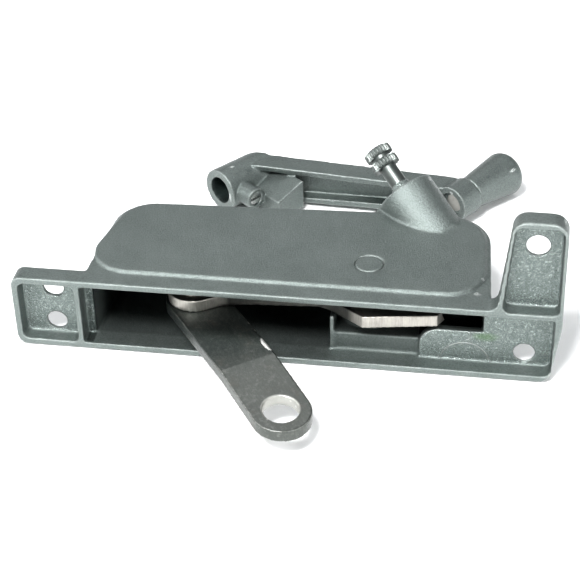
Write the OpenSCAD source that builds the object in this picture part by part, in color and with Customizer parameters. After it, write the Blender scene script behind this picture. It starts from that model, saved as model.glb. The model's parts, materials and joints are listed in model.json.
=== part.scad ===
/* [Flange] */
// Length of the mounting flange
flange_l = 170.3; // [165:0.1:175]
// Height of the flange bar
flange_h = 25.4; // [25:0.1:26]
// Depth of the flange tray, front to back
flange_d = 6.8; // [6.2:0.1:7.4]
// Depth of the screw pockets behind the mounting face
pocket_d = 5.2; // [4.6:0.1:5.6]
// Height of the upright tab at the right end
tab_h = 57.15; // [52:0.05:60]
// Diameter of the three small screw holes
screw_hole_d = 6.4; // [5:0.1:6.8]
// Diameter of the screw hole in the upright tab
tab_hole_d = 7.0; // [5:0.1:8]

/* [Body] */
// Wall thickness of the body casting
wall = 2.2; // [1.8:0.1:2.6]
// Height that the top pad stands above the body
pad_rise = 1.0; // [0.5:0.1:1.5]

/* [Drive] */
// Distance from the gear pivot to the link rivet
arm_reach = 54.8; // [50:0.1:58]
// Thickness of the drive arm plate
arm_t = 4.0; // [3:0.1:4.2]
// Rest angle of the drive arm below the flange line
arm_rest = 9; // [7:0.5:11]
// Teeth on the full circle of the gear
gear_teeth = 36; // [36:1:36]
// Outer radius of the gear sector
gear_r = 27.1; // [27:0.1:27.2]
// Pitch radius of the worm
worm_r = 6.2; // [6.1:0.05:6.3]
// Angle of the worm shaft above the pad
shaft_tilt = 33; // [32:0.5:34]
// Direction of the worm shaft seen from above
shaft_az = 137.3; // [136:0.1:139]
// Radius of the pivot pin
pin_r = 4.4; // [4:0.1:4.6]
// Radius of the plain shank of the crank stub
shank_r = 2.85; // [2.6:0.05:3]
// Outer radius of the splined rings on the stub
spline_r = 4.65; // [4.5:0.05:4.7]

/* [Link] */
// Distance between the link's two holes
link_l = 60.3; // [57:0.1:63]
// Half width of the link
link_hw = 9.1; // [8.8:0.1:9.4]
// Angle of the link seen from above
link_az = -54; // [-56:0.5:-52]
// Bend in the link
link_bend = 7; // [5:0.5:9]
// Radius of the hole in the link's outer end
link_hole_r = 5.4; // [4.5:0.1:5.6]

/* [Crank] */
// Length of the crank arm
crank_l = 78; // [74:1:82]
// Outer radius of the crank hub
hub_r = 7.6; // [7:0.1:7.8]
// Radius of the crank hub's bore
hub_bore_r = 4.8; // [4.7:0.05:5]
// Length of the knob
knob_l = 22; // [20:0.5:24]
// Largest radius of the knob
knob_r = 7.9; // [7:0.1:7.9]

/* [Hidden] */
$fn = 96;

casting = [0.47, 0.51, 0.49];
steel = [0.62, 0.61, 0.58];
dark_steel = [0.36, 0.39, 0.38];
bronze = [0.66, 0.55, 0.33];

eps = 0.01;
cut_in = 0.005;
fit = 0.05;          // radial clearance of a running fit
gap = 0.1;           // end play between a part that turns and its neighbour

// Places are measured from the flange's left end, its mounting face and its lower edge.
body_top = flange_h;
cavity_z0 = 2.3;
cavity_z1 = 23.1;
cavity_x0 = 21.8;
cavity_x1 = 168;
tab_root = 20;                   // height where the tab leaves the bar
tab_fillet = 3;
front_cut = pocket_d + 0.6;      // depth of the recess in front of the gear body
pivot = [110.1, 19.75];
mesh_z = 17;                                  // mid plane of the gear
arm_z = mesh_z - arm_t / 2;
arm_top = arm_z + arm_t;

// Pivot of the gear, with a flanged bush between two washers
pin_z0 = 0.8;
pin_z1 = body_top + pad_rise - 0.35;
washer_r = 9;
washer_t = 0.9;
bush_lip = 1.2;
bush_collar = 1;
lower_washer_z = arm_z - bush_lip - gap - washer_t;
upper_washer_z = arm_top + bush_collar + gap;
pedestal_r = 9.5;
bush_r = 5.6;

// Gear and worm
pitch_r = gear_r - 1;
centre_d = pitch_r + worm_r;
gear_pitch = 2 * PI * pitch_r / gear_teeth;
thread_pitch = gear_pitch * cos(shaft_tilt) / (1 - gear_pitch * sin(shaft_tilt) / (2 * PI * worm_r));
lead_angle = atan(thread_pitch / (2 * PI * worm_r));
tooth_slant = shaft_tilt - lead_angle;
mesh_dir = shaft_az - 90;
mesh_point = [pivot.x + centre_d * cos(mesh_dir), pivot.y + centre_d * sin(mesh_dir), mesh_z];
worm_tip_r = worm_r + 1;
worm_root_r = worm_r - 1.4;

// Stations along the worm shaft, outward from the middle of the mesh
boss_end = 23.9;
boss_r = 9.7;
boss_skirt = 8;
boss_root = 4;
skirt_hw = boss_r - 0.15;
bore_r = worm_tip_r + 0.3;
bush_l = 8;
worm_top = boss_end - bush_l - 1.2;
worm_end = -9.2;
journal_end = -13;
seat_end = -16.2;
stub_end = boss_end + 17.1;

// Link
rivet_r = 3.5;
eye_r = 8.2;
link_t = 3.8;
link_top = arm_z - gap;
bend_at = 38.3;
rivet_at = [pivot.x + arm_reach * cos(180 + arm_rest), pivot.y + arm_reach * sin(180 + arm_rest)];

// Crank, lying on its side behind the housing
crank_z = 7.9;
hub_at = [49.0, 86.8];
hub_az = 51;
hub_l = 21;
arm_at = [60.8, 102.3];
arm_az = -4.5;
knob_at = [135.7, 93.8];
knob_az = 53.5;
boss_l = 9;
end_boss_r = 6.6;
knob_pin_r = 2.4;
set_screw_r = 2.4;
screw_at = 5.5;                  // place of the set screw along the hub
screw_l = 8;
screw_boss_r = 3.9;
screw_boss_l = 13.5;
crank_t = 8.6;                   // width of the crank's arm
channel_floor = 4.3;
hub_half = 7;
tip_half = 5.2;

module from_left_end() translate([-flange_l / 2, 0, 0]) children();

// Lays a drawing made in X and Z against the mounting face, running back from y0 to y1.
module against_face(y0, y1) translate([0, y1, 0]) rotate([90, 0, 0]) linear_extrude(y1 - y0) children();

// A frame whose Z runs outward along the worm shaft, from the middle of the mesh.
module on_shaft(s = 0)
    translate(mesh_point) rotate([0, 90 - shaft_tilt, shaft_az]) translate([0, 0, s]) children();

// A frame turned with the drive arm, its -X towards the link rivet.
module on_arm() translate([pivot.x, pivot.y, 0]) rotate([0, 0, arm_rest]) children();

module on_link() translate([rivet_at.x, rivet_at.y, 0]) rotate([0, 0, link_az]) children();

// A frame whose Z runs along a level line at height crank_z.
module level(at, az, s = 0)
    translate([at.x, at.y, crank_z]) rotate([0, 90, az]) translate([0, 0, s]) children();

module on_crank_arm() translate([arm_at.x, arm_at.y, crank_z]) rotate([0, 0, arm_az]) children();

// Convex outline with a circle of radius c[2] at each corner, in anticlockwise order.
function side_normal(a, b) =
    let (d = [b.x - a.x, b.y - a.y], l = norm(d), k = (a[2] - b[2]) / l, w = sqrt(1 - k * k))
    [(k * d.x + w * d.y) / l, (k * d.y - w * d.x) / l];

// Where a straight side leaves corner c; it cuts a hair into the corner's circle instead of just touching it.
function side_end(c, m) = let (r = max(c[2] - cut_in, 0)) [c.x + r * m.x, c.y + r * m.y];

module outline(corners) {
    n = len(corners);
    polygon([for (i = [0 : n - 1]) let (a = corners[i], b = corners[(i + 1) % n], m = side_normal(a, b))
             each concat([side_end(a, m)], b[2] > 0 ? [side_end(b, m)] : [])]);
    for (c = corners) if (c[2] > 0) translate([c.x, c.y]) circle(c[2]);
}

module ring(r, hole, h) difference() {
    cylinder(r = r, h = h);
    translate([0, 0, -eps]) cylinder(r = hole, h = h + 2 * eps);
}

// ---- housing: one die casting, with the flange tray, the gear body and the shaft boss

module flange_outline() {
    outline([[3.6, 3.6, 3.6], [163.8, 4.2, 4.2], [flange_l, tab_root, 0], [flange_l, flange_h, 0],
             [3.2, flange_h - 3.2, 3.2]]);
    outline([[150, tab_root, 0], [flange_l, tab_root, 0], [flange_l - 5, tab_h - 5, 5],
             [158.4, tab_h - 4.6, 4.6], [150.9, 28, 0]]);
    // fillet between the bar and the tab
    translate([147.8, flange_h]) difference() {
        translate([0, -1]) square([4, 4]);
        translate([0, tab_fillet]) circle(tab_fillet);
    }
}

module body_outline(inset = 0) outline([
    [22.3 + inset, 3 + inset, 0], [149 - inset, 3 + inset, 0],
    [130.3, 36, 16.5 - inset], [37.8, 35.5, 13 - inset]]);

module pad_outline() outline([[35.5, 19.4, 12.6], [134, 18.8, 12.2], [130.3, 36, 14.9], [37.8, 35.5, 11.6]]);

// Panel that closes the gear body to the right of its opening.
module right_wall_outline() {
    outline([[127.1, cavity_z0 - 1, 0], [cavity_x1, cavity_z0 - 1, 0], [cavity_x1, 13.1, 0],
             [133.1, 7.1, 6]]);
    translate([147.3, cavity_z0 - 1]) square([21, cavity_z1]);
}

module screw_holes() {
    for (hole = [[12, 6.4, screw_hole_d], [12, 19, screw_hole_d], [159.4, 6.7, screw_hole_d],
                 [161.6, 46.2, tab_hole_d]])
        translate([hole.x, -1, hole.y]) rotate([-90, 0, 0]) cylinder(d = hole.z, h = flange_d + 4);
}

module housing() color(casting) from_left_end() difference() {
    union() {
        difference() {
            against_face(0, flange_d) flange_outline();
            against_face(-1, pocket_d) {
                outline([[4.2, 4.6, 2.2], [18.4, 3.9, 1.6], [18.4, 21.5, 1.6], [4.2, 20.9, 2.2]]);
                outline([[154.6, 27.2, 2.2], [167.1, 27, 2], [166.2, 52.4, 2.9], [157.6, 52.4, 2.9]]);
            }
        }
        linear_extrude(body_top) body_outline();
        translate([0, 0, body_top - 1]) linear_extrude(1 + pad_rise) pad_outline();
        on_shaft(boss_root) cylinder(r = boss_r, h = boss_end - boss_root);
        // straight side walls of the boss, down to the pad
        on_shaft(boss_root + 1) translate([0, -skirt_hw, 0])
            cube([boss_skirt, 2 * skirt_hw, boss_end - boss_root - 1]);
    }
    // gear cavity, open at the front
    difference() {
        union() {
            translate([0, 0, cavity_z0]) linear_extrude(cavity_z1 - cavity_z0) body_outline(wall);
            against_face(-1, front_cut)
                outline([[cavity_x0, cavity_z0, 0], [165.2, 5.0, 2.7], [cavity_x1, 20, 0],
                         [cavity_x1, cavity_z1, 0], [cavity_x0, cavity_z1, 0]]);
        }
        against_face(front_cut, flange_d + 2) right_wall_outline();
        // pedestal and roof boss of the pivot
        translate([pivot.x, pivot.y, 0]) cylinder(r = pedestal_r, h = lower_washer_z);
        translate([pivot.x, pivot.y, upper_washer_z + washer_t]) cylinder(r = pedestal_r, h = 10);
        // block and rib beside the opening
        translate([100.3, 7.2, 0]) cube([27, 8, 8.4]);
        translate([99.3, 6.6, 0]) cube([1.4, 9, arm_z - 0.5]);
        // shaft tunnel
        on_shaft(-9.8) cylinder(r = boss_r, h = boss_end);
        on_shaft(seat_end) cylinder(r = 5.6, h = 10);
        translate([mesh_point.x + 6.5, mesh_point.y - 11, 0]) cylinder(r = 5, h = 9);
    }
    // the gear's sweep through the tunnel wall
    translate([pivot.x, pivot.y, arm_z - 0.5]) cylinder(r = gear_r + 0.5, h = arm_t + 1);
    on_shaft(worm_end - 0.4) cylinder(r = bore_r, h = 60);
    on_shaft(journal_end - 2.6) cylinder(r = 3 + fit, h = 8);
    translate([pivot.x, pivot.y, pin_z0]) cylinder(r = pin_r, h = 40);
    screw_holes();
}

module pivot_pin() color(casting) from_left_end() translate([pivot.x, pivot.y, 0]) {
    translate([0, 0, pin_z0]) cylinder(r = pin_r, h = pin_z1 - pin_z0);
    translate([0, 0, pin_z1]) cylinder(r1 = pin_r, r2 = pin_r - 0.3, h = 0.3);
}

module pivot_washer_lower() color(steel) from_left_end()
    translate([pivot.x, pivot.y, lower_washer_z]) ring(washer_r, pin_r + fit, washer_t);

module pivot_washer_upper() color(steel) from_left_end()
    translate([pivot.x, pivot.y, upper_washer_z]) ring(washer_r, pin_r + fit, washer_t);

// ---- worm shaft and what carries it

module shaft_bush() color(casting) from_left_end() difference() {
    union() {
        on_shaft(boss_end - bush_l) cylinder(r = bore_r, h = bush_l);
        on_shaft(boss_end) cylinder(r1 = 4.2, r2 = 3.1, h = 3.2);
    }
    on_shaft(boss_end - bush_l - 1) cylinder(r = shank_r + fit, h = bush_l + 6);
}

module thrust_washer() color(bronze) from_left_end()
    on_shaft(boss_end - bush_l - 1) ring(bore_r - 0.1, shank_r + fit, 1);

module thrust_ball() color(steel) from_left_end()
    on_shaft(journal_end - 1.3) sphere(r = 1.25);

module spline_ring() linear_extrude(2.7)
    polygon([for (i = [0 : 47]) let (r = i % 2 == 0 ? spline_r : spline_r - 0.6, a = i * 7.5)
             r * [cos(a), sin(a)]]);

// Section points of the thread in its own plane: distance from the axis, and place along it.
thread_section = [[worm_root_r - 0.5, -1.3], [worm_tip_r, -0.58],
                  [worm_tip_r, 0.58], [worm_root_r - 0.5, 1.3]];
thread_steps = 24;

module worm_thread(z0, z1) {
    turns = (z1 - z0) / thread_pitch;
    n = floor(turns * thread_steps);
    points = [for (i = [0 : n], c = thread_section)
              let (z = z0 + i * thread_pitch / thread_steps, a = 90 + 360 * z / thread_pitch)
              [c[0] * cos(a), c[0] * sin(a), z + c[1]]];
    sides = [for (i = [0 : n - 1], j = [0 : 3])
             let (p = 4 * i + j, q = 4 * i + (j + 1) % 4)
             each [[p, q, q + 4], [p, q + 4, p + 4]]];
    polyhedron(points, concat(sides, [[3, 2, 1, 0]], [[4 * n, 4 * n + 1, 4 * n + 2, 4 * n + 3]]));
}

module worm_shaft() color(steel) from_left_end() {
    on_shaft(worm_end) cylinder(r = worm_root_r, h = worm_top - worm_end);
    on_shaft() worm_thread(worm_end + 2, worm_top - 3);
    on_shaft(journal_end) cylinder(r = 3, h = worm_end - journal_end + eps);
    on_shaft(worm_top - eps) cylinder(r = shank_r, h = stub_end - worm_top - 6);
    on_shaft(stub_end - 6.8) {
        spline_ring();
        cylinder(r = spline_r - 1.2, h = 6.8);
        translate([0, 0, 4.1]) spline_ring();
    }
}

// ---- drive arm with its gear sector

module sector_outline() intersection() {
    circle(gear_r);
    polygon([[-2.8, -18.4], [32, -18.4], [32, 32], [18.5, 32], [6, 10.4],
             [-14, 7], [-16, -6.8], [-12, -9.2]]);
}

module arm_outline() {
    translate([-arm_reach, 0]) circle(eye_r);
    polygon([[-arm_reach + 4, -7.2], [-46, -5.2], [-38, -5], [-16, -6.8], [0, -9], [0, 9], [-16, 7], [-38, 5],
             [-46, 5.2], [-arm_reach + 4, 7.2]]);
}

// One tooth space, standing at the gear's outer edge and leaning with the worm's thread.
module tooth_space() translate([gear_r, 0, mesh_z]) rotate([tooth_slant, 0, 0])
    linear_extrude(14, center = true) polygon([[-2.75, -0.85], [0.6, -1.72], [0.6, 1.72], [-2.75, 0.85]]);

module drive_arm() color(steel) from_left_end() on_arm() difference() {
    translate([0, 0, arm_z]) linear_extrude(arm_t) {
        sector_outline();
        arm_outline();
    }
    first = mesh_dir - arm_rest;
    for (k = [-7 : 2]) rotate([0, 0, first + k * 360 / gear_teeth]) tooth_space();
    cylinder(r = bush_r, h = 40);
    translate([-arm_reach, 0, 0]) cylinder(r = rivet_r, h = 40);
}

module arm_bush() color(bronze) from_left_end() translate([pivot.x, pivot.y, 0]) difference() {
    union() {
        translate([0, 0, arm_z - bush_lip]) cylinder(r = 8.4, h = bush_lip);
        translate([0, 0, arm_z]) cylinder(r = bush_r, h = arm_t);
        translate([0, 0, arm_top]) cylinder(r = 6.8, h = bush_collar);
    }
    cylinder(r = pin_r + fit, h = 40);
}

module link_rivet() color(steel) from_left_end() translate([rivet_at.x, rivet_at.y, 0]) {
    translate([0, 0, link_top - link_t - 2.5]) cylinder(r = 6.2, h = 1.5);
    translate([0, 0, link_top - link_t - 2]) cylinder(r = rivet_r, h = arm_top - link_top + link_t + 2);
    translate([0, 0, arm_top]) cylinder(r1 = 5.4, r2 = 4.2, h = 1.6);
}

module rivet_washer() color(steel) from_left_end() translate([rivet_at.x, rivet_at.y, link_top - link_t - 1])
    ring(7.2, rivet_r + fit, 0.9);

// Side view of the bent strip, longer at both ends than the link cut from it.
module link_profile() {
    past = link_l - bend_at + 2 * link_hw;
    end = [bend_at + past * cos(link_bend), -past * sin(link_bend)];
    polygon([[-2 * link_hw, 0], [-2 * link_hw, -link_t], [bend_at - link_t * tan(link_bend / 2), -link_t],
             [end.x - link_t * sin(link_bend), end.y - link_t * cos(link_bend)], end, [bend_at, 0]]);
}

module link_arm() color(dark_steel) from_left_end() on_link() difference() {
    intersection() {
        translate([0, 0, link_top]) rotate([90, 0, 0])
            linear_extrude(3 * link_hw, center = true) link_profile();
        linear_extrude(link_top + 1)
            outline([[0, 0, link_hw], [bend_at + (link_l - bend_at) * cos(link_bend), 0, link_hw]]);
    }
    cylinder(r = rivet_r + fit, h = 40);
    past_bend() translate([link_l - bend_at, 0, -20]) cylinder(r = link_hole_r, h = 40);
}

// A frame on the top face of the link's outer, bent part.
module past_bend() translate([bend_at, 0, link_top]) rotate([0, link_bend, 0]) children();

// ---- crank handle, lying on its side

// Side of the crank's arm, from x0 to x1; half its height is hub_half at the hub and tip_half at the knob.
module arm_side(x0, x1, inset) polygon([[x0, inset - hub_half], [x1, inset - tip_half],
                                        [x1, tip_half - inset], [x0, hub_half - inset]]);

module crank_handle() color(casting) from_left_end() difference() {
    union() {
        // hub, trimmed flush with the arm's far side
        difference() {
            level(hub_at, hub_az) cylinder(r = hub_r, h = hub_l);
            on_crank_arm() translate([-30, 0, -20]) cube([60, 20, 40]);
        }
        // sloping gusset between hub and arm, then the boss of the set screw
        translate([hub_at.x, hub_at.y, 0]) rotate([0, 0, hub_az]) rotate([90, 0, 0])
            linear_extrude(21) polygon([[9, 1.3], [20.8, 1.3], [20.8, 12.1], [9, 8.1]]);
        set_screw_axis() cylinder(r = screw_boss_r, h = screw_boss_l);
        // channelled arm, trimmed where the knob turns
        difference() {
            on_crank_arm() rotate([90, 0, 0]) linear_extrude(crank_t) arm_side(-1, crank_l - 4, 0);
            on_crank_arm() translate([0, -channel_floor, 0]) rotate([90, 0, 0])
                linear_extrude(crank_t) arm_side(2, crank_l - 12, 2.1);
            level(knob_at, knob_az, -0.3) cylinder(r = 14, h = 14);
        }
        level(knob_at, knob_az, -boss_l) cylinder(r = end_boss_r, h = boss_l);
    }
    level(hub_at, hub_az, -1) cylinder(r = hub_bore_r, h = hub_l - 4);
    level(knob_at, knob_az, -boss_l - 1) cylinder(r = knob_pin_r, h = boss_l + 2);
    level(knob_at, knob_az, -boss_l - 5) cylinder(r = 4.2, h = 7);
    set_screw_axis() translate([0, 0, 1]) cylinder(r = set_screw_r, h = screw_boss_l);
}

// A frame whose Z runs out of the hub's side along the set screw.
module set_screw_axis() level(hub_at, hub_az, screw_at) rotate([90, 0, 0]) children();

module crank_set_screw() color(steel) from_left_end() set_screw_axis() difference() {
    translate([0, 0, hub_bore_r + 0.1]) cylinder(r = set_screw_r, h = screw_l);
    translate([-0.4, -3, hub_bore_r + screw_l - 1]) cube([0.8, 6, 2]);
}

module knob_rivet() color(steel) from_left_end() {
    level(knob_at, knob_az, -7) cylinder(r1 = 3.2, r2 = 4, h = 1);
    level(knob_at, knob_az, -6) cylinder(r = knob_pin_r, h = 20);
}

module knob_washer() color(steel) from_left_end() level(knob_at, knob_az) ring(5, knob_pin_r, 0.7);

module knob() color(casting) from_left_end() level(knob_at, knob_az, 0.8) rotate_extrude()
    difference() {
        union() {
            polygon([[0, 0], [5.3, 0], [5.7, 0.5], [knob_r, knob_l - 4], [knob_r, knob_l - 3.2],
                     [knob_r - 3.5, knob_l], [0, knob_l]]);
            translate([knob_r - 3.5, knob_l - 3.5]) circle(3.5);
        }
        translate([-10, -10]) square([10, 60]);
        translate([-1, -1]) square([1 + knob_pin_r + fit, 15]);
    }

housing();
pivot_pin();
pivot_washer_lower();
pivot_washer_upper();
shaft_bush();
thrust_washer();
thrust_ball();
worm_shaft();
drive_arm();
arm_bush();
link_rivet();
rivet_washer();
link_arm();
crank_handle();
crank_set_screw();
knob_rivet();
knob_washer();
knob();
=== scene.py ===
import json
import math

import bmesh
import bpy
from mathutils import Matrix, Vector


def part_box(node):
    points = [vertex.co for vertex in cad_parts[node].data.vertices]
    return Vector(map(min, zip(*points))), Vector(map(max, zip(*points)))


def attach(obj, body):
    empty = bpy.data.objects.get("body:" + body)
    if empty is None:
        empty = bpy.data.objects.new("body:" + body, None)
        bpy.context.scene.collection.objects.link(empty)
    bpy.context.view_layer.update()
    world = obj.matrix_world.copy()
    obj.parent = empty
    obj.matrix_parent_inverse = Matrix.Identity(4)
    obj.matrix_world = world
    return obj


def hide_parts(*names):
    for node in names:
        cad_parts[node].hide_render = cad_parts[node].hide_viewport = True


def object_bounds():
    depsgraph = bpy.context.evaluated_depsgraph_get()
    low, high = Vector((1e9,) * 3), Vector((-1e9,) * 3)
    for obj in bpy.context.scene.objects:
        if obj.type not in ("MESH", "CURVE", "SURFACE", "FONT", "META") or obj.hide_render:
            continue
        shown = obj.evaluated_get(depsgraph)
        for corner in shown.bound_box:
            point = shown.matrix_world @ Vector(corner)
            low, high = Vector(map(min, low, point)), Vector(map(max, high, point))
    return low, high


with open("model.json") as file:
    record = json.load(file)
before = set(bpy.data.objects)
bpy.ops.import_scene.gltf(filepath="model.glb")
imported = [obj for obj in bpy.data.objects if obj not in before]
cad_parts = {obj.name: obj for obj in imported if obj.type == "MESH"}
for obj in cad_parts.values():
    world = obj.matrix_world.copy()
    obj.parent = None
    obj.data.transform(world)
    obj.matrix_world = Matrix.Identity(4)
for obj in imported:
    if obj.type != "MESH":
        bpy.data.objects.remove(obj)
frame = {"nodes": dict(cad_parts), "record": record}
cad_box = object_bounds()
mounts = {m["name"]: m for m in frame["record"]["mounts"]}


# ---- Camera
# A long lens a little above the object and slightly to the right of its middle, looking down on the top pad.
camera = bpy.data.objects.new("camera", bpy.data.cameras.new("camera"))
bpy.context.collection.objects.link(camera)
camera.data.lens = 105.5
camera.data.sensor_width = 36
camera.location = (0.07673, -0.41548, 0.32037)
tilt, roll, turn = 55.277, 1.433, 9.036
camera.rotation_euler = [math.radians(a) for a in (tilt, roll, turn)]
bpy.context.scene.camera = camera
bpy.context.scene.view_settings.view_transform = "Standard"


# ---- Studio light
# A bright panel above the front and a weak low one under it, one panel on each side and one above the back.
def panel(name, place, size, watts, target=(0.0, 0.03, 0.01)):
    light = bpy.data.objects.new(name, bpy.data.lights.new(name, "AREA"))
    bpy.context.collection.objects.link(light)
    light.data.shape, light.data.size, light.data.energy = "DISK", size, watts
    light.location = place
    light.rotation_euler = (Vector(target) - Vector(place)).to_track_quat("-Z", "Y").to_euler()


panel("front_panel", (-0.12, -0.55, 0.86), 0.26, 17)
panel("low_front_panel", (-0.25, -0.9, 0.3), 0.35, 4)
panel("left_panel", (-0.9, -0.1, 0.6), 0.5, 6)
panel("right_panel", (0.85, -0.35, 0.4), 0.35, 5)
panel("back_panel", (-0.1, 0.7, 1.1), 0.6, 4)
world = bpy.data.worlds.new("studio")
world.use_nodes = True
world.node_tree.nodes["Background"].inputs["Color"].default_value = (0.93, 0.97, 1.0, 1)
world.node_tree.nodes["Background"].inputs["Strength"].default_value = 0.3
bpy.context.scene.world = world


# ---- Surface maths
# Value wraps a shader socket so that finishes are written as sums.
# Finish is one material with its shader, and makes every other kind of node.
class Value:
    def __init__(self, tree, socket):
        self.tree, self.socket = tree, socket

    def _do(self, operation, a, b=0.0):
        node = self.tree.nodes.new("ShaderNodeMath")
        node.operation = operation
        for slot, x in zip(node.inputs, (a, b)):
            if isinstance(x, Value):
                self.tree.links.new(x.socket, slot)
            else:
                slot.default_value = x
        return Value(self.tree, node.outputs[0])

    def __add__(self, other): return self._do("ADD", self, other)
    def __radd__(self, other): return self._do("ADD", other, self)
    def __sub__(self, other): return self._do("SUBTRACT", self, other)
    def __rsub__(self, other): return self._do("SUBTRACT", other, self)
    def __mul__(self, other): return self._do("MULTIPLY", self, other)
    def __rmul__(self, other): return self._do("MULTIPLY", other, self)
    def __truediv__(self, other): return self._do("DIVIDE", self, other)
    def __rtruediv__(self, other): return self._do("DIVIDE", other, self)
    def __pow__(self, other): return self._do("POWER", self, other)
    def __neg__(self): return self._do("MULTIPLY", self, -1.0)
    def least(self, other): return self._do("MINIMUM", self, other)
    def most(self, other): return self._do("MAXIMUM", self, other)
    def size(self): return self._do("ABSOLUTE", self)
    def held(self): return self.most(0.0).least(1.0)


class Finish:
    def __init__(self, name, **constants):
        self.material = bpy.data.materials.new(name)
        self.material.use_nodes = True
        self.tree = self.material.node_tree
        self.shader = self.tree.nodes["Principled BSDF"]
        for key, x in constants.items():
            self.input(key).default_value = x

    def input(self, key):
        return self.shader.inputs[key.replace("_", " ").title().replace("Ior", "IOR")]

    def node(self, kind, settings, links, output=0):
        node = self.tree.nodes.new(kind)
        for key, x in settings.items():
            setattr(node, key, x)
        for key, x in links.items():
            if isinstance(x, Value):
                self.tree.links.new(x.socket, node.inputs[key])
            else:
                node.inputs[key].default_value = x
        return Value(self.tree, node.outputs[output])

    def place(self):
        """Place on the piece in millimetres."""
        at = self.node("ShaderNodeTexCoord", {}, {}, "Object")
        return self.node("ShaderNodeVectorMath", {"operation": "SCALE"}, {0: at, "Scale": 1000.0})

    def axes(self, vector):
        return [self.node("ShaderNodeSeparateXYZ", {}, {0: vector}, axis) for axis in "XYZ"]

    def noise(self, at, per_mm, detail=3.0, rough=0.55):
        return self.node("ShaderNodeTexNoise", {}, {"Vector": at, "Scale": per_mm, "Detail": detail,
                                                    "Roughness": rough}, "Fac")

    def mix(self, share, a, b):
        return self.node("ShaderNodeMix", {"data_type": "RGBA"}, {0: share, 6: a, 7: b}, 2)

    def bump(self, height, distance, strength=1.0):
        normal = self.node("ShaderNodeBump", {}, {"Height": height, "Distance": distance, "Strength": strength})
        self.tree.links.new(normal.socket, self.shader.inputs["Normal"])

    def feed(self, **values):
        for key, x in values.items():
            self.tree.links.new(x.socket, self.input(key))


def wear(thing, finish):
    """Gives a piece its finish and nothing else."""
    thing.data.materials.clear()
    thing.data.materials.append(finish.material)


# ---- Floor
# A plain pale board with the faintest paper grain, under the lowest point of the object.
board = bpy.data.meshes.new("floor")
form = bmesh.new()
bmesh.ops.create_grid(form, x_segments=1, y_segments=1, size=3.0)
form.to_mesh(board)
form.free()
floor = bpy.data.objects.new("floor", board)
floor.location.z = cad_box[0][2] - 0.0002
bpy.context.collection.objects.link(floor)
paper = Finish("floor_paper", roughness=0.9, specular_ior_level=0.1)
grain = paper.noise(paper.place(), 0.4)
paper.feed(base_color=paper.mix(grain, (0.93, 0.94, 0.94, 1), (0.97, 0.975, 0.975, 1)))
wear(floor, paper)


# ---- Housing casting
# One zinc die casting: flange tray, gear body and slanted shaft boss, painted satin silver grey. Its edges and
# inner corners are rounded as the mould leaves them, so the sharp solid is recast as a fine, relaxed skin.
def recast(node, name, body, voxel, rounds, keep):
    """A soft-edged copy of a sharp CAD node, which it stands for."""
    skin = frame["nodes"][node].data.copy()
    skin.materials.clear()
    piece = bpy.data.objects.new(name, skin)
    bpy.context.collection.objects.link(piece)
    remesh = piece.modifiers.new("skin", "REMESH")
    remesh.mode, remesh.voxel_size, remesh.use_smooth_shade = "VOXEL", voxel, True
    relax = piece.modifiers.new("relax", "SMOOTH")
    relax.factor, relax.iterations = 0.5, rounds
    thin = piece.modifiers.new("thin", "DECIMATE")
    thin.ratio = keep
    whole = bpy.data.meshes.new_from_object(piece.evaluated_get(bpy.context.evaluated_depsgraph_get()))
    piece.modifiers.clear()
    piece.data = whole
    whole.name = name
    whole.shade_smooth()
    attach(piece, body)
    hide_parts(node)
    return piece


def cast_paint(name, light=1.0):
    """Satin silver-grey paint: a fine pebble, soft clouds, pale sharp edges that are partly worn paint and
    partly a painted highlight, and painted shade in the corners.
    """
    paint = Finish(name, metallic=0.8, specular_ior_level=0.4)
    at = paint.place()
    pebble, fleck = paint.noise(at, 1.9, 4.0), paint.noise(at, 5.0, 2.0)
    cloud, streak = paint.noise(at, 0.05), paint.noise(at, 0.32, 5.0)
    edge = paint.node("ShaderNodeNewGeometry", {}, {}, "Pointiness")
    edge_wear_and_highlight, corner_shade = ((edge - 0.515) * 11.0).held(), ((0.48 - edge) * 14.0).held()
    tone = (0.45 + (cloud - 0.5) * 0.5 + (pebble - 0.5) * 1.2 + (fleck - 0.5) * 1.3
            + (streak - 0.5) * 0.3).held()
    colour = paint.mix(tone, (0.088 * light, 0.108 * light, 0.102 * light, 1),
                       (0.235 * light, 0.268 * light, 0.257 * light, 1))
    # sharp edges are paler: partly worn paint, partly a painted highlight
    colour = paint.mix(edge_wear_and_highlight * 0.7, colour, (0.58, 0.62, 0.60, 1))
    # painted shade: concave corners are darkened
    colour = paint.mix(corner_shade * 0.5, colour, (0.05, 0.06, 0.057, 1))
    shine = 0.35 + (streak - 0.5) * 0.16 + (pebble - 0.5) * 0.12 + corner_shade * 0.12 - edge_wear_and_highlight * 0.08
    paint.bump(pebble + fleck * 0.8 + streak * 0.6, 0.0002, 0.8)
    return paint, at, colour, shine


housing = recast("housing", "housing_casting", "housing", 0.00045, 6, 0.45)
paint, at, colour, shine = cast_paint("housing_paint")
x, y, z = paint.axes(at)
facing = paint.node("ShaderNodeNewGeometry", {}, {}, "Normal")
nx, ny, nz = paint.axes(facing)
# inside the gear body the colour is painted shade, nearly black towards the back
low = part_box("housing")[0]
left_end = low.x * 1000
left_in, right_in = left_end + 24.6, left_end + 146.5
front_in, back_in = 6.2, 50.4
floor_in, roof_in = 2.0, 23.4
in_x = ((x - left_in) * 1.2).held() * ((right_in - x) * 1.2).held()
in_z = ((z - floor_in) * 3.0).held() * ((roof_in - z) * 3.0).held()
in_y = ((y - front_in) * 0.8).held() * ((back_in - y) * 2.0).held()
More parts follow.
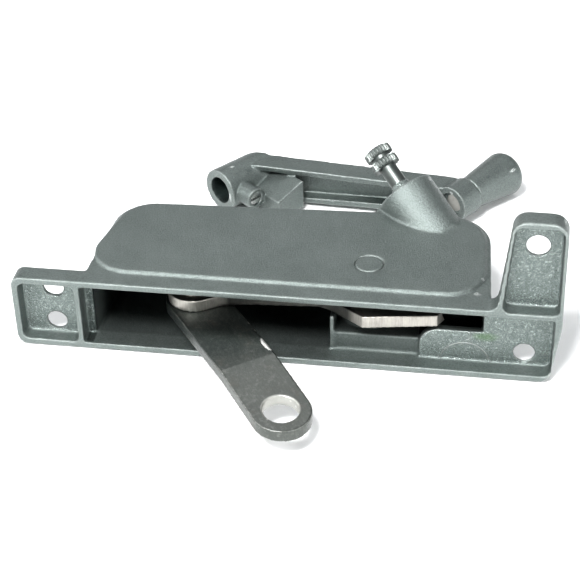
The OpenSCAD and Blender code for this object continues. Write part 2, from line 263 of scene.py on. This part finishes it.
# walls of the back half that face away from the body's middle are outside ones and get no painted shade
middle_x, middle_y = left_end + 85.0, low.y * 1000 + 25.0
outward = ((nx * (x - middle_x) * 0.3 + ny * (y - middle_y)) * 0.2).held() * ((y - 30.0) * 0.5).held()
cavity_shade = in_x * in_z * in_y * (1.0 - outward)
deep = ((y - 6.0) / 16.0).held()
# painted shade in the gear body's cavity
colour = paint.mix(cavity_shade * (0.55 + deep * 0.42), colour, (0.012, 0.016, 0.015, 1))
# the ledge where the left wall steps in gets the same painted shade
ledge_x = ((left_in + 0.3 - x) * 2.0).held() * ((x - left_in + 2.6) * 2.0).held()
ledge_y = ((y - 0.5) * 1.2).held() * ((7.5 - y) * 3.0).held()
shaded_ledge = ledge_x * ledge_y * in_z
colour = paint.mix(shaded_ledge * 0.95, colour, (0.02, 0.026, 0.024, 1))
# the pocket floors keep a rawer, mottled skin, with painted glints on it
pocket_floor = 5.25
raw = ((y - pocket_floor + 0.85) * 3.0).held() * ((pocket_floor + 0.85 - y) * 3.0).held() \
    * ((-ny - 0.5) * 3.0).held()
blotch = paint.noise(at, 0.75, 6.0, 0.7)
colour = paint.mix(raw * (blotch * 2.6 - 0.95).held(), colour, (0.07, 0.092, 0.086, 1))
# painted highlight: bright glint flecks on the pocket floors
painted_glint = ((paint.noise(at, 1.5, 5.0, 0.8) - 0.52) * 7.0).held()
colour = paint.mix(raw * painted_glint * 0.75, colour, (0.50, 0.56, 0.54, 1))
# two green stains low on the right, beside the opening
stain_x, stain_z = left_end + 147.5, 11.6
far = ((x - stain_x) / 5.5) ** 2.0 + ((z - stain_z) / 2.3) ** 2.0
stain = (1.15 - far - blotch * 0.9).held() * raw
colour = paint.mix(stain * 0.7, colour, (0.07, 0.16, 0.04, 1))
paint.feed(base_color=colour, roughness=(shine + cavity_shade * 0.15 - raw * 0.12).held())
wear(housing, paint)


# Round mark that the mould's ejector left beside the opening, half of it cut off by the lower rim, with a
# small tick above it.
def ejector_mark(name, centre, radius, start, end, body, thick=0.00016):
    """A thin raised line along part of a circle in the XZ plane; angles in degrees."""
    curve = bpy.data.curves.new(name, "CURVE")
    curve.dimensions, curve.bevel_depth, curve.bevel_resolution, curve.use_fill_caps = "3D", thick, 2, True
    line = curve.splines.new("POLY")
    steps = 40
    line.points.add(steps)
    for i, point in enumerate(line.points):
        turn = math.radians(start + (end - start) * i / steps)
        point.co = (*(centre + radius * Vector((math.cos(turn), 0, math.sin(turn)))), 1)
    drawn = bpy.data.objects.new(name + "_line", curve)
    mark = bpy.data.objects.new(name, bpy.data.meshes.new_from_object(drawn))
    bpy.data.objects.remove(drawn)
    bpy.context.collection.objects.link(mark)
    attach(mark, body)
    return mark


mark_at = Vector((low.x + 0.1413, low.y + 0.00582, low.z + 0.0012))
mark = ejector_mark("ejector_mark", mark_at, 0.0077, 8, 172, "housing", 0.0002)
# the mark's line is painted dark: painted shade for the small step around the ejector mark
shaded_mark, at, colour, shine = cast_paint("shaded_mark_paint", 0.3)
shaded_mark.feed(base_color=colour, roughness=shine)
wear(mark, shaded_mark)
tick = ejector_mark("ejector_tick", mark_at + Vector((0.0003, 0, 0.0103)), 0.0014, -90, 70, "housing")
wear(tick, shaded_mark)


# ---- Pivot pin
# Ground steel pin pressed up through the casting and painted over with it; only its end shows on the pad.
pin = recast("pivot_pin", "pivot_pin_end", "housing", 0.00022, 4, 0.3)
paint, at, colour, shine = cast_paint("pin_paint", 1.03)
paint.feed(base_color=colour, roughness=shine)
wear(pin, paint)


# ---- Shaft bush
# Turned insert in the mouth of the boss. Its nose is a short cone that closes on the shank, wiped bright.
bush = recast("shaft_bush", "bush_nose", "housing", 0.0002, 3, 0.3)
paint, at, colour, shine = cast_paint("bush_paint", 1.15)
paint.feed(base_color=colour, roughness=shine - 0.06)
wear(bush, paint)


# ---- Bearing parts in the casting
# Plain ground washers, an oiled bronze thrust washer and a hard ball. They show only through the front window.
def turned_steel(name, shade, oil=0.3, rough=0.3):
    """Machined or sheared steel with fine tool marks, cloudy oil and a little brown."""
    steel = Finish(name, metallic=1.0, coat_roughness=0.15)
    at = steel.place()
    marks, film = steel.noise(at, 3.4, 3.0), steel.noise(at, 0.22, 5.0, 0.6)
    brown = (steel.noise(at, 0.6, 6.0, 0.7) * 2.4 - 1.35).held()
    bare = steel.mix((marks - 0.3).held(), tuple(c * 0.78 for c in shade) + (1,), tuple(shade) + (1,))
    colour = steel.mix(brown * 0.35, bare, (0.16, 0.12, 0.08, 1))
    colour = steel.mix(((film - 0.5) * 3.0).held() * oil, colour, (0.05, 0.05, 0.045, 1))
    steel.bump(marks + film * 0.8, 0.00008, 0.4)
    return steel, at, colour, rough + (film - 0.5) * 0.25 + (marks - 0.5) * 0.15


steel, at, colour, shine = turned_steel("bearing_steel", (0.48, 0.48, 0.46))
steel.feed(base_color=colour, roughness=shine)
for node in ("pivot_washer_lower", "pivot_washer_upper", "thrust_ball", "rivet_washer", "knob_washer"):
    wear(frame["nodes"][node], steel)
bronze, at, colour, shine = turned_steel("oiled_bronze", (0.50, 0.36, 0.18), 0.5)
bronze.feed(base_color=colour, roughness=shine)
for node in ("thrust_washer", "arm_bush"):
    wear(frame["nodes"][node], bronze)


# ---- Worm shaft
# Plated steel: thread and journals inside, and outside the shank with two rings of rounded splines that the
# crank slides over. The rings are rolled, so their teeth are round and bright on top, with painted shade in the
# roots.
steel, at, colour, shine = turned_steel("plated_steel", (0.17, 0.19, 0.182), 0.3, 0.4)
steel.feed(base_color=colour, roughness=shine)
wear(frame["nodes"]["worm_shaft"], steel)
stub = mounts["crank_stub"]
along = Vector(stub["axis"]).normalized()
side = along.orthogonal().normalized()
other = along.cross(side)


def spline_ring(name, middle):
    """A rolled ring of 24 round-backed teeth, its corners turned off at both ends."""
    teeth, steps, half_h, tip_r, root_r = 24, 12, 0.00140, 0.00474, 0.00418
    corner = [(1.0, 0.00330), (0.98, 0.00372), (0.9, 0.00408), (0.72, 0.00448), (0.45, 0.00468)]
    rows = [(-t, r) for t, r in corner] + [(0.0, tip_r)] + corner[::-1]
    form = bmesh.new()
    loops = []
    for t, crown in rows:
        loop = []
        for i in range(teeth * steps):
            turn = 2 * math.pi * i / (teeth * steps)
            lobe = abs(math.cos(turn * teeth / 2)) ** 1.2
            r = min(crown, root_r + (tip_r - root_r) * lobe)
            loop.append(form.verts.new(middle + along * (t * half_h)
                                       + r * (math.cos(turn) * side + math.sin(turn) * other)))
        loops.append(loop)
    for a, b in zip(loops, loops[1:]):
        for i in range(len(a)):
            j = (i + 1) % len(a)
            form.faces.new((a[i], a[j], b[j], b[i]))
    form.faces.new(list(reversed(loops[0])))
    form.faces.new(loops[-1])
    bmesh.ops.recalc_face_normals(form, faces=form.faces)
    mesh = bpy.data.meshes.new(name)
    form.to_mesh(mesh)
    form.free()
    mesh.shade_smooth()
    ring = bpy.data.objects.new(name, mesh)
    bpy.context.collection.objects.link(ring)
    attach(ring, "worm")
    return ring


rolled, at, colour, shine = turned_steel("rolled_splines", (0.2, 0.22, 0.212), 0.2, 0.36)
edge = rolled.node("ShaderNodeNewGeometry", {}, {}, "Pointiness")
# painted shade in the roots between the teeth
colour = rolled.mix(((0.49 - edge) * 12.0).held() * 0.8, colour, (0.02, 0.025, 0.023, 1))
rolled.feed(base_color=colour, roughness=shine)
middle = Vector(stub["pos_m"])
for name, offset in (("spline_ring_inner", -0.00205), ("spline_ring_outer", 0.00205)):
    wear(spline_ring(name, middle + along * offset), rolled)


# ---- Drive arm
# Blanked from 4 mm steel plate with its gear teeth. The flat faces carry painted shade, as they lie under the
# housing's roof, and the sheared edges are bare.
arm = recast("drive_arm", "drive_arm_plate", "arm", 0.0003, 3, 0.35)
steel, at, colour, shine = turned_steel("sheared_plate", (0.42, 0.40, 0.365), 0.5, 0.4)
facing = steel.node("ShaderNodeNewGeometry", {}, {}, "Normal")
nx, ny, nz = steel.axes(facing)
flat = ((nz.size() - 0.7) * 4.0).held()
upright = steel.node("ShaderNodeVectorMath", {"operation": "MULTIPLY"}, {0: at, 1: (3.0, 3.0, 0.25)})
lines = steel.noise(upright, 1.0)
# painted shade on the flat faces, which lie under the housing's roof
colour = steel.mix(flat * 0.6, colour, (0.07, 0.07, 0.062, 1))
colour = steel.mix((1.0 - flat) * (lines * 1.6 - 0.6).held() * 0.5, colour, (0.75, 0.72, 0.66, 1))
# between eye and gear the arm lies under the housing's roof, so there it gets painted shade, edges too
x, y, z = steel.axes(at)
eye_end, gear_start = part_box("link_rivet")[1].x * 1000 + 3.0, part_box("pivot_pin")[0].x * 1000 + 2.0
under_roof_shade = ((x - eye_end) * 0.4).held() * ((gear_start - x) * 0.4).held()
colour = steel.mix(under_roof_shade * 0.85, colour, (0.025, 0.028, 0.026, 1))
steel.feed(base_color=colour, roughness=shine)
wear(arm, steel)


# ---- Link rivet
# Soft steel rivet, headed cold, which joins the drive arm to the link.
rivet = recast("link_rivet", "link_rivet_headed", "arm", 0.0002, 5, 0.4)
steel, at, colour, shine = turned_steel("headed_rivet", (0.45, 0.44, 0.41), 0.5, 0.36)
steel.feed(base_color=colour, roughness=shine)
wear(rivet, steel)


# ---- Link
# Stamped steel strip, bent once and punched at both ends. Its skin carries painted shade near the rivet and
# painted light past the bend, with a bare bright edge and one torn nick where the blank was sheared.
link = recast("link_arm", "link_plate", "link", 0.00032, 3, 0.35)
steel = Finish("oiled_link", metallic=0.95, coat_roughness=0.2, coat_weight=0.15)
at = steel.place()
hole = mounts["link_hole"]
hole_at = Vector(hole["pos_m"]) * 1000
rivet_low, rivet_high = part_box("link_rivet")
rivet_at = (rivet_low + rivet_high) * 500
run = Vector((hole_at.x - rivet_at.x, hole_at.y - rivet_at.y, 0)).normalized()
cross = Vector((-run.y, run.x, 0))
s = steel.node("ShaderNodeVectorMath", {"operation": "DOT_PRODUCT"}, {0: at, 1: tuple(run)}, "Value") \
    - run.dot(rivet_at)
w = steel.node("ShaderNodeVectorMath", {"operation": "DOT_PRODUCT"}, {0: at, 1: tuple(cross)}, "Value") \
    - cross.dot(rivet_at)
scale, smear = steel.noise(at, 2.8, 4.0), steel.noise(at, 0.16, 5.0, 0.65)
drawn = steel.noise(steel.node("ShaderNodeCombineXYZ", {}, {"X": s * 0.25, "Y": w * 1.6, "Z": 0.0}), 1.0, 5.0)
scuff = steel.noise(at, 0.7, 6.0, 0.75)
edge = steel.node("ShaderNodeNewGeometry", {}, {}, "Pointiness")
# painted shade and light: darker inside the cavity near the rivet, paler past the bend where the light falls
lit_past_bend = ((s - 26.0 + (smear - 0.5) * 22.0) / 16.0).held()
colour = steel.mix(lit_past_bend, (0.034, 0.042, 0.039, 1), (0.078, 0.085, 0.078, 1))
colour = steel.mix((drawn * 2.0 - 0.9).held() * 0.2, colour, (0.2, 0.2, 0.19, 1))
colour = steel.mix((scuff * 3.4 - 1.75).held() * (0.3 + lit_past_bend * 0.3), colour, (0.25, 0.255, 0.24, 1))
colour = steel.mix((1.1 - scuff * 2.6).held() * 0.6, colour, (0.03, 0.033, 0.031, 1))
colour = steel.mix(((smear * 2.2) - 1.25).held() * 0.4, colour, (0.17, 0.12, 0.08, 1))
colour = steel.mix(((edge - 0.53) * 12.0).held() * (0.35 + lit_past_bend * 0.4), colour, (0.78, 0.78, 0.74, 1))
# the punched wall of the end hole is bare
out = (((s - run.dot(hole_at - rivet_at)) ** 2.0 + w ** 2.0) ** 0.5 - mounts["link_hole"]["dims"]["r_mm"])
bore_wall = (1.0 - out * 1.6).held()
colour = steel.mix(bore_wall * 0.7, colour, (0.62, 0.62, 0.58, 1))
nick_far = (((s - 33.0) / 3.6) ** 2.0 + ((w - 8.9) / 1.3) ** 2.0)
nick = ((1.6 - nick_far - scale) * 3.0).held()
colour = steel.mix(nick, colour, (0.9, 0.9, 0.87, 1))
shine = (0.36 + (smear - 0.5) * 0.3 + (scale - 0.5) * 0.2 + lit_past_bend * 0.06).held()
steel.feed(base_color=colour, roughness=shine)
steel.bump(scale * 0.8 + drawn * 0.4 + smear + scuff * 0.8 + nick * 3.0, 0.00014, 0.55)
wear(link, steel)


# ---- Crank handle
# Zinc casting: hub, channelled arm and end boss. The channel's floor is darkened and mottled, and the channel
# keeps the mould's ejector marks.
crank = recast("crank_handle", "crank_casting", "crank", 0.00034, 5, 0.45)
paint, at, colour, shine = cast_paint("crank_paint", 0.95)
edge = paint.node("ShaderNodeNewGeometry", {}, {}, "Pointiness")
# painted highlight: sharp edges are mixed to near white
colour = paint.mix(((edge - 0.545) * 10.0).held() * 0.6, colour, (0.85, 0.88, 0.86, 1))
# the channel's floor is darkened and mottled
facing = paint.node("ShaderNodeNewGeometry", {}, {}, "Normal")
nx, ny, nz = paint.axes(facing)
height = paint.axes(at)[2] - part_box("crank_handle")[0].z * 1000
channel = ((nz - 0.6) * 4.0).held() * ((7.6 - height) * 1.5).held() * ((height - 3.6) * 3.0).held()
mottle = paint.noise(at, 0.6, 6.0, 0.75)
colour = paint.mix(channel * (0.55 + mottle * 0.6).held(), colour, (0.022, 0.032, 0.03, 1))
# the inside of the bore is darkened
bore = mounts["crank_bore"]
bore_at, bore_dir = Vector(bore["pos_m"]) * 1000, Vector(bore["axis"])
rel = paint.node("ShaderNodeVectorMath", {"operation": "SUBTRACT"}, {0: at, 1: tuple(bore_at)})
across = paint.node("ShaderNodeVectorMath", {"operation": "CROSS_PRODUCT"}, {0: rel, 1: tuple(bore_dir)})
off = paint.node("ShaderNodeVectorMath", {"operation": "LENGTH"}, {0: across}, "Value")
depth = paint.node("ShaderNodeVectorMath", {"operation": "DOT_PRODUCT"}, {0: rel, 1: tuple(bore_dir)}, "Value")
bore_darkening = ((5.15 - off) * 4.0).held() * ((9.0 - depth) * 0.35).held()
colour = paint.mix(bore_darkening * 0.85, colour, (0.02, 0.035, 0.033, 1))
paint.feed(base_color=colour, roughness=shine)
wear(crank, paint)


# ---- Crank set screw
# Plated slotted screw in the block beside the hub.
screw = recast("crank_set_screw", "set_screw", "crank", 0.00014, 2, 0.5)
steel, at, colour, shine = turned_steel("screw_plate", (0.68, 0.70, 0.68), 0.2, 0.24)
steel.feed(base_color=colour, roughness=shine)
wear(screw, steel)


# ---- Knob and its rivet
# Tapered knob with a rounded end, painted like the crank, free to turn on a headed steel rivet.
knob = recast("knob", "knob_turned", "knob", 0.0003, 5, 0.35)
paint, at, colour, shine = cast_paint("knob_paint", 0.92)
paint.feed(base_color=colour, roughness=shine - 0.03)
wear(knob, paint)
steel, at, colour, shine = turned_steel("knob_rivet_steel", (0.45, 0.44, 0.41), 0.4, 0.36)
steel.feed(base_color=colour, roughness=shine)
wear(frame["nodes"]["knob_rivet"], steel)
